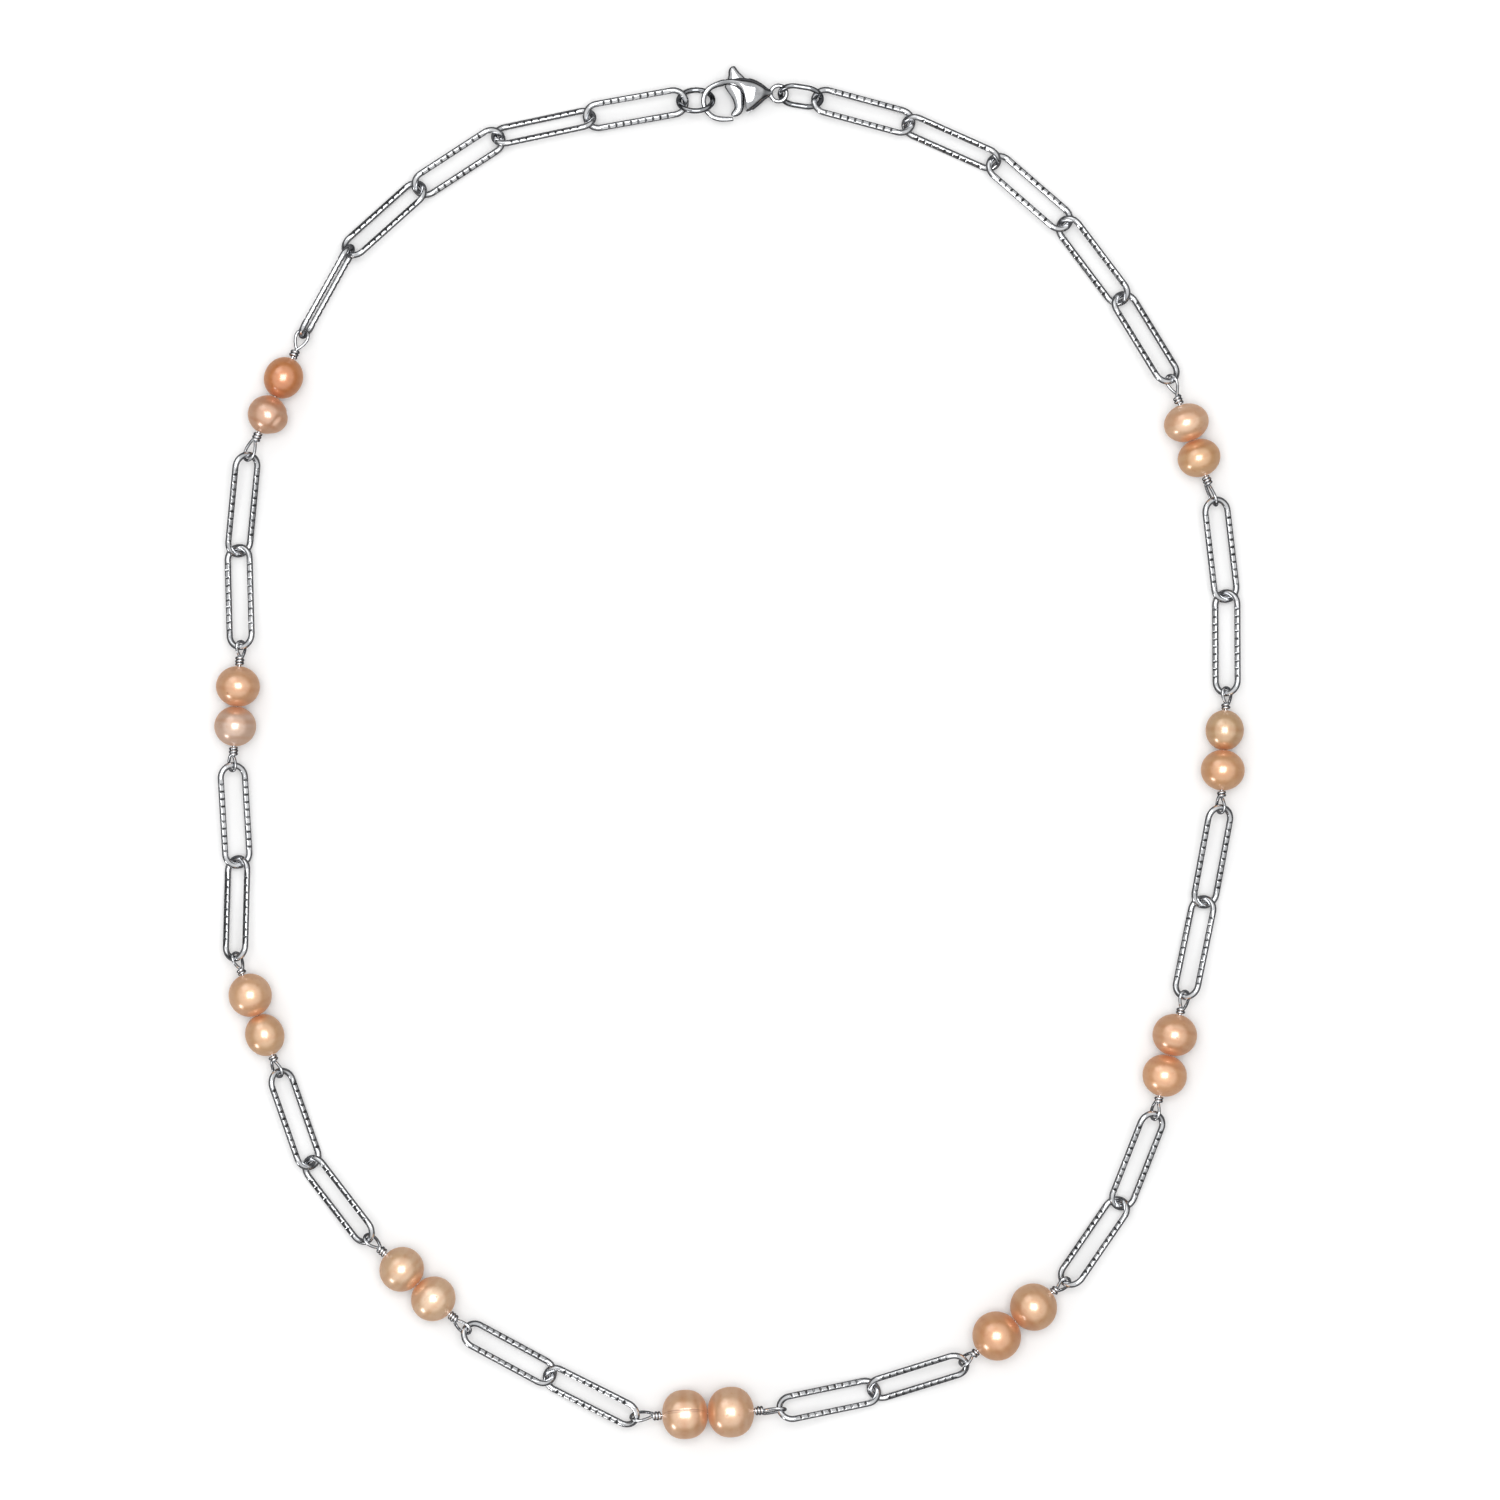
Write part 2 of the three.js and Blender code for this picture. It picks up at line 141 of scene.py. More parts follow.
def principal_frame(points):
    """The frame of a flat loop: X along its longest extent, Z along its normal, pointing up."""
    middle = points.mean(0)
    long_axis, _, short_axis = np.linalg.svd(points - middle, full_matrices=False)[2]
    if short_axis[2] < 0:
        short_axis = -short_axis
    if long_axis[0] < 0:
        long_axis = -long_axis
    axes = [long_axis, np.cross(short_axis, long_axis), short_axis]
    local = Local(middle, axes)
    inside = local.into(points)
    local.origin = local.out((inside.min(0) + inside.max(0)) / 2)
    return local, np.ptp(inside, axis=0)


# ---------------------------------------------------------------- meshes

TUBE_END_SHARES = (0.6, 0.93)  # of a tube's radius, at its first and second step from either end


def add_object(name, vertices, faces, material, sharp_degrees=None, attributes=None):
    """A smooth-shaded object from vertices in the row frame."""
    mesh = bpy.data.meshes.new(name)
    mesh.from_pydata([tuple(v) for v in vertices], [], faces)
    for key, values in (attributes or {}).items():
        layer = mesh.attributes.new(key, "FLOAT", "POINT")
        layer.data.foreach_set("value", np.asarray(values, np.float32))
    obj = bpy.data.objects.new(name, mesh)
    SCENE.collection.objects.link(obj)
    finish_mesh(obj, material, sharp_degrees)
    return obj


def finish_mesh(obj, material, sharp_degrees=None):
    """Faces pointing out, smooth shading, sharp edges where the surface turns by more than the angle."""
    shape = bmesh.new()
    shape.from_mesh(obj.data)
    bmesh.ops.recalc_face_normals(shape, faces=shape.faces)
    shape.to_mesh(obj.data)
    shape.free()
    obj.data.shade_smooth()
    if sharp_degrees is not None:
        obj.data.set_sharp_from_angle(angle=math.radians(sharp_degrees))
    obj.data.materials.clear()
    obj.data.materials.append(material)


def place(obj, node):
    """The object stands for one CAD node and moves with its body."""
    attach(obj, body_of(node))
    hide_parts(node)
    return obj


def ring_faces(rings, sides, closed):
    """Quads between rings of vertices that follow each other.

    A closed run also joins its last ring to its first.
    """
    faces = []
    for i in range(rings if closed else rings - 1):
        for k in range(sides):
            a = i * sides
            b = ((i + 1) % rings) * sides
            m = (k + 1) % sides
            faces.append((a + k, a + m, b + m, b + k))
    return faces


def capped_faces(rings, sides):
    """The same for an open run, with a face over each of its two ends."""
    faces = ring_faces(rings, sides, False)
    faces.append(tuple(range(sides - 1, -1, -1)))
    last = (rings - 1) * sides
    faces.append(tuple(range(last, last + sides)))
    return faces


def transport(path):
    """Two unit vectors across an open path at each of its points, without twist."""
    along = np.gradient(path, axis=0)
    along /= np.linalg.norm(along, axis=1)[:, None]
    across = np.empty_like(along)
    start = np.cross(along[0], (0, 0, 1) if abs(along[0][2]) < 0.9 else (1, 0, 0))
    across[0] = start / np.linalg.norm(start)
    for i in range(1, len(path)):
        carried = across[i - 1] - along[i] * (across[i - 1] @ along[i])
        across[i] = carried / np.linalg.norm(carried)
    return across, np.cross(along, across)


def tube(path, radius, sides):
    """Vertices and faces of round wire along an open path, with rounded ends."""
    path = np.asarray(path)
    across, other = transport(path)
    turn = np.linspace(0, 2 * math.pi, sides, endpoint=False)[None, :, None]
    around = np.cos(turn) * across[:, None, :] + np.sin(turn) * other[:, None, :]
    scale = np.full(len(path), radius)
    for step, share in enumerate(TUBE_END_SHARES):
        scale[[step, -1 - step]] *= share
    rings = path[:, None, :] + around * scale[:, None, None]
    return rings.reshape(-1, 3), capped_faces(len(path), sides)


def resample(path, step):
    """The same path in even steps."""
    path = np.asarray(path, float)
    reach = np.concatenate([[0], np.cumsum(np.linalg.norm(np.diff(path, axis=0), axis=1))])
    count = max(4, int(round(reach[-1] / step)))
    even = np.linspace(0, reach[-1], count + 1)
    return np.stack([np.interp(even, reach, path[:, k]) for k in range(3)], axis=1)


def relax(path, rounds):
    """The same path with its corners eased in several rounds; its ends stay."""
    path = path.copy()
    for _ in range(rounds):
        path[1:-1] = (path[:-2] + 2 * path[1:-1] + path[2:]) / 4
    return path


# ---------------------------------------------------------------- materials


class Nodes:
    """Short ways to add shader nodes to a material."""

    def __init__(self, name):
        self.material = bpy.data.materials.new(name)
        self.material.use_nodes = True
        self.tree = self.material.node_tree
        self.tree.nodes.clear()
        output = self.add("ShaderNodeOutputMaterial")
        self.shader = self.add("ShaderNodeBsdfPrincipled")
        self.link(self.shader.outputs["BSDF"], output.inputs["Surface"])

    def add(self, kind, **settings):
        node = self.tree.nodes.new(kind)
        for key, value in settings.items():
            setattr(node, key, value)
        return node

    def link(self, source, target):
        self.tree.links.new(source, target)

    def place(self):
        return self.add("ShaderNodeTexCoord").outputs["Object"]

    def noise(self, scale, detail=3.0, roughness=0.5):
        texture = self.add("ShaderNodeTexNoise")
        texture.inputs["Scale"].default_value = scale
        texture.inputs["Detail"].default_value = detail
        texture.inputs["Roughness"].default_value = roughness
        self.link(self.place(), texture.inputs["Vector"])
        return texture.outputs["Fac"]

    def spread(self, source, low, high, to_low=0.0, to_high=1.0):
        """The source's values from low to high, stretched over another range and clamped."""
        node = self.add("ShaderNodeMapRange")
        node.inputs["From Min"].default_value = low
        node.inputs["From Max"].default_value = high
        node.inputs["To Min"].default_value = to_low
        node.inputs["To Max"].default_value = to_high
        self.link(source, node.inputs["Value"])
        return node.outputs["Result"]

    def mix(self, factor, first, second):
        """A colour between two, each a colour or a socket."""
        node = self.add("ShaderNodeMix", data_type="RGBA")
        self.link(factor, node.inputs["Factor"])
        for socket, colour in ((node.inputs[6], first), (node.inputs[7], second)):
            if isinstance(colour, tuple):
                socket.default_value = colour
            else:
                self.link(colour, socket)
        return node.outputs[2]

    def attribute(self, name):
        return self.add("ShaderNodeAttribute", attribute_name=name).outputs["Fac"]

    def bump(self, height, strength, distance_mm):
        node = self.add("ShaderNodeBump")
        node.inputs["Strength"].default_value = strength
        node.inputs["Distance"].default_value = distance_mm * MM
        self.link(height, node.inputs["Height"])
        self.link(node.outputs["Normal"], self.shader.inputs["Normal"])


GROOVE_GREY = srgb(48, 50, 54)
GROOVE_DULLNESS = 0.2  # added to the roughness in a notch
MARK_BROWN = srgb(128, 62, 34)


def steel(name, bright, dark, roughness, edge, groove=None):
    """Polished steel with faint wear, reflecting only the edge share at grazing angles.

    Where a groove attribute is given, its notches are darker and duller.
    """
    made = Nodes(name)
    shader = made.shader
    shader.inputs["Metallic"].default_value = 1.0
    shader.inputs["Specular Tint"].default_value = (edge, edge, edge * 1.08, 1)
    wear = made.spread(made.noise(900, 4.0), 0.35, 0.7)
    colour = made.mix(wear, bright, dark)
    duller = made.spread(made.noise(2600, 2.0), 0.3, 0.75, roughness * 0.8, roughness * 1.35)
    if groove:
        depth = made.attribute(groove)
        colour = made.mix(depth, colour, GROOVE_GREY)
        total = made.add("ShaderNodeMath", operation="MULTIPLY_ADD")
        made.link(depth, total.inputs[0])
        total.inputs[1].default_value = GROOVE_DULLNESS
        made.link(duller, total.inputs[2])
        duller = total.outputs[0]
    made.link(colour, shader.inputs["Base Color"])
    made.link(duller, shader.inputs["Roughness"])
    made.bump(made.noise(1500, 3.0), 0.12, 0.02)
    return made.material


def tinted(colour, red, green, blue):
    """The colour with its channels scaled, none above white."""
    scaled = [min(1, value * share) for value, share in zip(colour, (red, green, blue))]
    return (*scaled, 1.0)


def nacre(name, body, rough_spots=0.0):
    """Pearl: a body colour clouded with a paler tone and freckled with a deeper one, under a lustrous coat.

    It is painted amber as shade where the pearl meets its neighbour or its wraps, mixed with random amber bands of
    its own tone, and brown in its marks.
    """
    made = Nodes(name)
    shader = made.shader
    deep = tinted(body, 0.84, 0.5, 0.28)
    pale = tinted(body, 1.08, 1.16, 1.3)
    painted_shade_amber = tinted(body, 0.72, 0.34, 0.06)
    clouds = made.spread(made.noise(260, 3.0, 0.55), 0.36, 0.64, 0.0, 0.9)
    colour = made.mix(clouds, body, pale)
    freckles = made.spread(made.noise(1500, 4.0, 0.6), 0.56, 0.75, 0.0, 0.35)
    colour = made.mix(freckles, colour, deep)
    # painted shade: amber where the pearl meets its neighbour or its wraps, mixed with the pearl's own random
    # bands
    contact_shade_and_bands = made.spread(made.attribute("contact_shade_and_bands"), 0.0, 1.0, 0.0, 0.9)
    colour = made.mix(contact_shade_and_bands, colour, painted_shade_amber)
    mark = made.attribute("mark")
    colour = made.mix(mark, colour, MARK_BROWN)
    made.link(colour, shader.inputs["Base Color"])
    shader.inputs["Metallic"].default_value = 0.38
    shader.inputs["Specular IOR Level"].default_value = 0.35
    shader.inputs["Coat Weight"].default_value = 1.0
    shader.inputs["Coat Roughness"].default_value = 0.21
    shader.inputs["Coat IOR"].default_value = 2.15
    shader.inputs["Sheen Weight"].default_value = 0.7
    shader.inputs["Sheen Roughness"].default_value = 0.5
    shader.inputs["Sheen Tint"].default_value = srgb(255, 206, 170)
    made.link(made.spread(made.noise(420, 3.0), 0.3, 0.7, 0.3, 0.42), shader.inputs["Roughness"])
    made.bump(made.noise(330 + 900 * rough_spots, 3.0), 0.22 + 0.6 * rough_spots, 0.05)
    return made.material


BRIGHT = srgb(232, 233, 235)
GREY = srgb(200, 202, 205)
LINK_STEEL = steel("link_steel", BRIGHT, GREY, 0.15, 0.2, groove="groove")
WIRE_STEEL = steel("pearl_wire_steel", srgb(222, 223, 225), srgb(180, 181, 184), 0.18, 0.2)
CLASP_STEEL = steel("polished_steel", srgb(204, 205, 207), srgb(170, 172, 175), 0.12, 0.08)
RING_STEEL = steel("ring_steel", srgb(178, 180, 183), srgb(144, 146, 150), 0.12, 0.06)
SPRING_STEEL = steel("spring_steel", srgb(170, 171, 175), srgb(140, 141, 146), 0.28, 0.3)

# ---------------------------------------------------------------- links and rings


def stadium(half_straight, bend, straight_steps, bend_steps):
    """Points, outward directions and, for each point, its place along a straight side or None."""
    points, outward, places = [], [], []
    for end in (1, -1):
        for i in range(straight_steps):
            x = end * half_straight * (2 * i / straight_steps - 1)
            points.append((x, -end * bend, 0))
            outward.append((0, -end, 0))
            places.append(end * x)
        for i in range(bend_steps):
            angle = -math.pi / 2 + math.pi * i / bend_steps
            direction = (end * math.cos(angle), end * math.sin(angle), 0)
            points.append((end * half_straight + bend * direction[0], bend * direction[1], 0))
            outward.append(direction)
            places.append(None)
    return np.array(points), np.array(outward), places


def cut_depth(along, half_straight, phase):
    """How far a link's cut face lies below the round wire, as (flat, notch), each from 0 to 1."""
    if along is None:
        return 0.0, 0.0
    inside = half_straight - abs(along)
    flat = min(1.0, max(0.0, inside / (0.5 * LINK_CELL)))
    across = ((along / LINK_CELL + phase) % 1.0 - 0.5) * LINK_CELL
    notch = max(0.0, 1.0 - abs(across) / (LINK_NOTCH_WIDTH / 2))
    return flat, notch * flat


def build_link(node, phase):
    """A flat wire link. Its sides are cut flat above and below, with a row of notches across them."""
    local, size = principal_frame(node_points(node))
    length, width, wire = size / MM
    radius = wire / 2 * WIRE_FIT
    bend = (width - wire) / 2
    half_straight = (length - wire) / 2 - bend
    cells = max(1, round(2 * half_straight / LINK_CELL))
    points, outward, places = stadium(half_straight, bend, cells * LINK_CELL_STEPS, LINK_BEND_STEPS)
    sides = LOOP_WIRE_SIDES
    vertices, grooves = [], []
    for point, out, place_along in zip(points, outward, places):
        flat, notch = cut_depth(place_along, half_straight, phase)
        ceiling = radius * (1 - (1 - LINK_FLAT) * flat) - LINK_NOTCH * notch
        for k in range(sides):
            angle = 2 * math.pi * k / sides
            reach, height = radius * math.cos(angle), radius * math.sin(angle)
            over = abs(height) - ceiling
            groove = 0.0
            if over > 0 and flat > 0:
                height = math.copysign(ceiling, height)
                groove = notch
            vertices.append((point[0] + out[0] * reach, point[1] + out[1] * reach, height))
            grooves.append(groove)
    faces = ring_faces(len(points), sides, True)
    obj = add_object(
        node + "_wire", local.out(np.array(vertices) * MM), faces, LINK_STEEL, 34, {"groove": grooves}
    )
    return place(obj, node)


def build_ring(node):
    """A jump ring, with the fine seam where its wire's ends meet."""
    local, size = principal_frame(node_points(node))
    length, _, wire = size / MM
    radius = wire / 2 * WIRE_FIT
    width = min(size[1] / MM, length)
    bend = (width - wire) / 2
    half_straight = max((length - width) / 2, 0.01)
    points, outward, _ = stadium(half_straight, bend, RING_STRAIGHT_STEPS, RING_BEND_STEPS)
    sides = LOOP_WIRE_SIDES
    vertices = []
    for i, (point, out) in enumerate(zip(points, outward)):
        thin = radius * (RING_SEAM_WIDTH if i == RING_SEAM else 1.0)
        for k in range(sides):
            angle = 2 * math.pi * k / sides
            reach, height = thin * math.cos(angle), thin * math.sin(angle)
            vertices.append((point[0] + out[0] * reach, point[1] + out[1] * reach, height))
    faces = ring_faces(len(points), sides, True)
    obj = add_object(node + "_wire", local.out(np.array(vertices) * MM), faces, RING_STEEL)
    return place(obj, node)


# ---------------------------------------------------------------- pearls and their wires


def eye_end(face, turns, tip, eye_half_width):
    """The wire of one end of a station, from its middle outwards: core, eye and wraps, in millimetres.

    X runs outwards, the eye lies in XY, and face is where the outer pearl ends.
    """
    wire = PEARL_WIRE
    first_wrap = face + PEARL_GAP + wire / 2
    wound = turns - 1 + PART_TURN
    travel = wire * wound
    last_wrap = first_wrap + travel
    neck = last_wrap + EYE_START
    core = [(x, 0, 0) for x in np.linspace(0, neck - CORE_STOP, 40)]
    eye_length = tip - wire / 2 - neck
    width = (eye_half_width - wire / 2) / TEARDROP_PEAK
    eye = []
    for angle in np.linspace(EYE_LEAVES, 2 * math.pi - EYE_RETURNS, EYE_ROUNDS):
        turned = angle / (2 * math.pi)
        lift = min(1.0, max(0.0, (turned - EYE_RISES) / EYE_RISING))
        eye.append((
            neck + eye_length * (1 - math.cos(angle)) / 2,
            width * math.sin(angle) * math.sin(angle / 2),
            wire * EYE_CROSSING * lift * lift * (3 - 2 * lift),
        ))
    wraps = []
    whole = 2 * math.pi * wound
    for angle in np.linspace(0, whole, int(24 * turns)):
        across = math.pi / 2 - angle
        wraps.append((
            last_wrap - travel * angle / whole,
            wire * WRAP_REACH * math.cos(across),
            wire * WRAP_REACH * math.sin(across),
        ))
    path = resample(core + eye + wraps, WIRE_STEP)
    return relax(path, 3)


def build_station(station, pearl_nodes, wire_node):
    """One wire from eye to eye, and the two pearls on it."""
    centres = [node_points(node).mean(0) for node in pearl_nodes]
    axis = centres[1] - centres[0]
    axis /= np.linalg.norm(axis)
    middle = (centres[0] + centres[1]) / 2
    wire_points = node_points(wire_node)
    along = (wire_points - middle) @ axis / MM
    halves = []
    for end, sign in ((0, -1), (1, 1)):
        outward = axis * sign
        tip = (along * sign).max()
        near_tip = wire_points[along * sign > tip - 1.6]
        across = near_tip - middle - np.outer((near_tip - middle) @ axis, axis)
        eye_axis = np.linalg.svd(across, full_matrices=False)[2][0]
        if eye_axis[2] < 0:
            eye_axis = -eye_axis
        local = Local(middle, [outward, eye_axis, np.cross(outward, eye_axis)])
        face = ((node_points(pearl_nodes[end]) - middle) @ outward).max() / MM
        half_width = np.abs(across @ eye_axis).max() / MM
        path = eye_end(face, TURNS[station], tip, half_width)
        halves.append(local.out(path * MM))
    path = np.concatenate([halves[0][::-1], halves[1][1:]])
    vertices, faces = tube(path, PEARL_WIRE / 2 * MM, PEARL_WIRE_SIDES)
    obj = add_object(wire_node + "_wrapped", vertices, faces, WIRE_STEEL)
    place(obj, wire_node)
    for end, node in enumerate(pearl_nodes):
        build_pearl(node, centres[end], axis * (1 if end == 0 else -1))


# What sets each pearl apart: its body colour and any crease, pit, lump, barrel form or rough skin. Angles
# are in degrees. The first goes round the hole from straight up; a second one goes from the neighbour's
# side of the hole (0) to the far side (180).
PEARLS = {
    "pearl_front_left": {"body": srgb(225, 180, 140), "crease": -12, "barrel": 0.86},
    "pearl_front_right": {"body": srgb(225, 180, 140), "pit": (-4, 84), "barrel": 0.9},
    "pearl_left_1_lower": {"body": srgb(230, 190, 150), "pit": (14, 92)},
    "pearl_left_1_upper": {"body": srgb(225, 185, 145)},
    "pearl_left_2_lower": {"body": srgb(220, 175, 130)},
    "pearl_left_2_upper": {"body": srgb(225, 175, 130)},
    "pearl_left_3_lower": {"body": srgb(215, 180, 155)},
    "pearl_left_3_upper": {"body": srgb(220, 165, 120), "pit": (26, 70)},
    "pearl_left_4_lower": {"body": srgb(210, 160, 125), "lump": (80, 105)},
    "pearl_left_4_upper": {"body": srgb(210, 130, 70)},
    "pearl_right_1_lower": {"body": srgb(220, 160, 110)},
    "pearl_right_1_upper": {"body": srgb(220, 170, 125)},
    "pearl_right_2_lower": {"body": srgb(230, 170, 120)},
    "pearl_right_2_upper": {"body": srgb(220, 165, 120), "pit": (-6, 84)},
    "pearl_right_3_lower": {"body": srgb(220, 165, 115)},
    "pearl_right_3_upper": {"body": srgb(210, 170, 125), "rough": 0.6},
    "pearl_right_4_lower": {"body": srgb(220, 170, 120)},
    "pearl_right_4_upper": {"body": srgb(230, 185, 145)},
}
ROWS, COLUMNS = 72, 144  # steps along and round a pearl
HOLE_STEPS = 6  # and along its drilled hole
WAVES = 0.018  # how far a pearl's slow waves and fine ripples sink, as shares of its radius
RIPPLES = 0.004
# Marks. Depths are shares of the radius, widths are degrees and darkness goes from 0 to 1.
LUMP_HEIGHT = 0.12  # which the rest of the pearl sinks below it
LUMP_WIDTH = 58
LUMP_FURROW = {"depth": 0.04, "away": 44, "width": 8}  # the furrow round a lump
CREASE_LINES = ((-2.6, 1.2), (2.6, 0.8))  # where each line lies and its width
CREASE_DEPTH = 0.012
CREASE_DARKNESS = 0.75
PIT_DEPTH = 0.01
PIT_WIDTH = 2
PIT_DARKNESS = 0.85


def pearl_shape(direction, seed):
    """How far a pearl's surface sinks below its smooth form, as a share of its radius."""
    slow = noise.noise(Vector(direction) * 1.3 + Vector((seed * 7.1, seed * 3.3, 0)))
    fine = noise.noise(Vector(direction) * 4.0 + Vector((0, seed * 5.7, seed * 2.9)))
    return WAVES * (0.5 + 0.5 * slow) + RIPPLES * (0.5 + 0.5 * fine)


def bell(distance, width):
    """1 at no distance, falling smoothly to about a third at the width and to none beyond."""
    return math.exp(-((distance / width) ** 2))


def sphere_direction(turn, polar):
    """A unit vector in a pearl's own axes, from its angles round the hole and from the neighbour's side."""
    across = math.sin(polar)
    return np.array((math.cos(polar), across * math.sin(turn), across * math.cos(turn)))


def degrees_between(direction, aim):
    """The angle between a direction and one given as a pearl's trait."""
    cosine = float(direction @ sphere_direction(*np.radians(aim)))
    return math.degrees(math.acos(max(-1.0, min(1.0, cosine))))


def pearl_marks(traits, direction, turn, polar):
    """How far the marks of a pearl sink its surface here, and how dark they are."""
    sink, mark = 0.0, 0.0
    if "lump" in traits:
        away = degrees_between(direction, traits["lump"])
        sink += LUMP_HEIGHT * (1 - bell(away, LUMP_WIDTH))
        sink += LUMP_FURROW["depth"] * bell(away - LUMP_FURROW["away"], LUMP_FURROW["width"])
    if "crease" in traits:
        for shift, width in CREASE_LINES:
            line = bell(math.degrees(turn) - traits["crease"] - shift, width) * math.sin(polar) ** 0.5
            sink += CREASE_DEPTH * line
            mark = max(mark, CREASE_DARKNESS * line)
    if "pit" in traits:
        away = degrees_between(direction, traits["pit"])
        sink += PIT_DEPTH * bell(away, PIT_WIDTH)
        mark = max(mark, PIT_DARKNESS * bell(away, PIT_WIDTH))
    return sink, mark


def build_pearl(node, centre, axis):
    """A pearl round its drilled hole. The axis points from it to its neighbour."""
    traits = PEARLS[node]
    seed = sorted(PEARLS).index(node) + 1
    points = node_points(node) - centre
    along = points @ axis
    length = (along.max() - along.min()) / MM
    width = 2 * np.linalg.norm(points - np.outer(along, axis), axis=1).max() / MM
    up = np.array((0, 0, 1.0)) - axis * axis[2]
    up /= np.linalg.norm(up)
    side = np.cross(axis, up)
    local = Local(centre, [axis, side, up])
    radius = width / 2 * PEARL_FIT
    drill = math.asin(PEARL_HOLE / radius)
    half_length = length / 2 / math.cos(math.asin(CAD_PEARL_MOUTH / width)) + PEARL_REACH
    barrel = traits.get("barrel", 1.0)
    vertices, contact_shade_and_bands_values, marks = [], [], []
    for i in range(ROWS + 1):
        polar = drill + (math.pi - 2 * drill) * i / ROWS
        # painted shade near the neighbour (polar 0) and, fainter, near the wraps, plus random bands of the pearl's
        # own deeper tone
        band = noise.noise(Vector((polar * 3.5, seed * 4.3, 0)))
        contact_shade_and_bands = bell(polar, 0.85) + 0.45 * bell(math.pi - polar, 0.5) + 0.5 * band * math.sin(polar)
        for k in range(COLUMNS):
            turn = 2 * math.pi * k / COLUMNS
            if turn > math.pi:
                turn -= 2 * math.pi
            direction = sphere_direction(turn, polar)
            sunk, mark = pearl_marks(traits, direction, turn, polar)
            ease = 1 - sunk - pearl_shape(direction, seed)
            rim = bell(polar - drill, 0.05) + bell(math.pi - drill - polar, 0.05)
            x = half_length * math.copysign(abs(direction[0]) ** barrel, direction[0]) * (1 - 0.012 * rim)
            x *= 1 - 0.5 * sunk * math.sin(polar)
            swell = 1 - math.sin(polar) + math.sin(polar) ** barrel
            across = radius * ease * swell
            vertices.append((x, across * direction[1], across * direction[2]))
            contact_shade_and_bands_values.append(contact_shade_and_bands)
            marks.append(mark)
    bore = PEARL_HOLE * 0.9
    for i in range(1, HOLE_STEPS):
        x = half_length * math.cos(drill) * (2 * i / HOLE_STEPS - 1) * 0.97
        for k in range(COLUMNS):
            turn = 2 * math.pi * k / COLUMNS
            vertices.append((x, bore * math.sin(turn), bore * math.cos(turn)))
            # the drilled hole is fully in painted shade
            contact_shade_and_bands_values.append(1.0)
            marks.append(0.6)
    faces = ring_faces(ROWS + HOLE_STEPS, COLUMNS, True)
    material = nacre(node + "_nacre", traits["body"], traits.get("rough", 0.0))
    obj = add_object(
        node + "_shape", local.out(np.array(vertices) * MM), faces, material, None,
        {"contact_shade_and_bands": contact_shade_and_bands_values, "mark": marks},
    )
    return place(obj, node)


# ---------------------------------------------------------------- clasp
# Drawn in its own plane, in millimetres: X towards the tail eye, Y towards the lever's nub, Z through it.
CLASP_HOOK = np.array((-1.36, 0.1))
TAIL_EYE = np.array((8.05, 1.25))
TAIL_EYE_BEND = 1.08
TAIL_EYE_WIRE = 0.6
TAIL_SLACK = 0.1
CLASP_TAIL = TAIL_EYE + np.array((TAIL_EYE_BEND - TAIL_EYE_WIRE / 2 - TAIL_SLACK, 0))
PIVOT = np.array((2.6, 2.4))
SLOT_WIDTH = 1.2
CLASP_VOXEL = 0.06  # grain of the clasp's meshes, before smoothing
PIN_RADIUS = 0.3
PIN_LENGTH = 2.0
SPRING_START = np.array((3.75, 0.95, 0))
SPRING_LENGTH = 1.1
SPRING_BEND = 0.32
SPRING_WIRE = 0.16
SPRING_TURNS = 3


def clasp_frame():
    """The clasp's drawing plane in the row frame, from the joints at its pivot and its tail."""
    lever, swing = JOINTS["clasp_lever_open"], JOINTS["clasp_swing"]
    normal = np.array(lever["axis"]) / np.linalg.norm(lever["axis"])
    chord = np.array(swing["axis"]) / np.linalg.norm(swing["axis"])
    drawn = CLASP_HOOK - CLASP_TAIL
    angle = math.atan2(drawn[1], drawn[0])
    sideways = np.cross(normal, chord)
    x_axis = chord * math.cos(angle) - sideways * math.sin(angle)
    y_axis = chord * math.sin(angle) + sideways * math.cos(angle)
    local = Local((0, 0, 0), [x_axis, y_axis, normal])
    local.origin = np.array(lever["pos_m"]) - local.out((*PIVOT * MM, 0))
    return local


# From the neck over the bulb and the back to the tip of the hook: a point on the outer edge, one on the
# inner edge, and half the thickness between them.
CLASP_SECTIONS = [
    ((7.05, 1.58), (7.05, 0.92), 0.33), ((6.5, 1.95), (6.4, 0.5), 0.7), ((5.9, 2.42), (5.6, -0.25), 1.12),
    ((5.1, 2.88), (4.8, -0.95), 1.42), ((4.3, 3.16), (4.1, -1.44), 1.5), ((3.5, 3.28), (3.7, -1.46), 1.5),
    ((2.9, 3.3), (3.66, -0.6), 1.48), ((2.3, 3.25), (3.6, 0.3), 1.42), ((1.6, 3.14), (3.2, 1.1), 1.28),
    ((0.8, 3.0), (2.4, 1.75), 1.05), ((0, 2.82), (1.2, 2.08), 0.82), ((-0.9, 2.42), (0, 1.95), 0.62),
    ((-1.7, 1.9), (-0.95, 1.55), 0.5), ((-2.3, 1.1), (-1.62, 0.85), 0.43), ((-2.52, 0.1), (-1.84, 0.1), 0.4),
    ((-2.38, -0.8), (-1.72, -0.65), 0.38), ((-1.95, -1.65), (-1.35, -1.3), 0.37),
    ((-1.1, -2.42), (-0.7, -1.85), 0.37), ((-0.1, -2.78), (0.1, -2.08), 0.38),
    ((0.8, -2.8), (0.75, -2.12), 0.38),
    ((1.5, -2.74), (1.38, -2.13), 0.37), ((2.0, -2.66), (1.86, -2.14), 0.34),
]
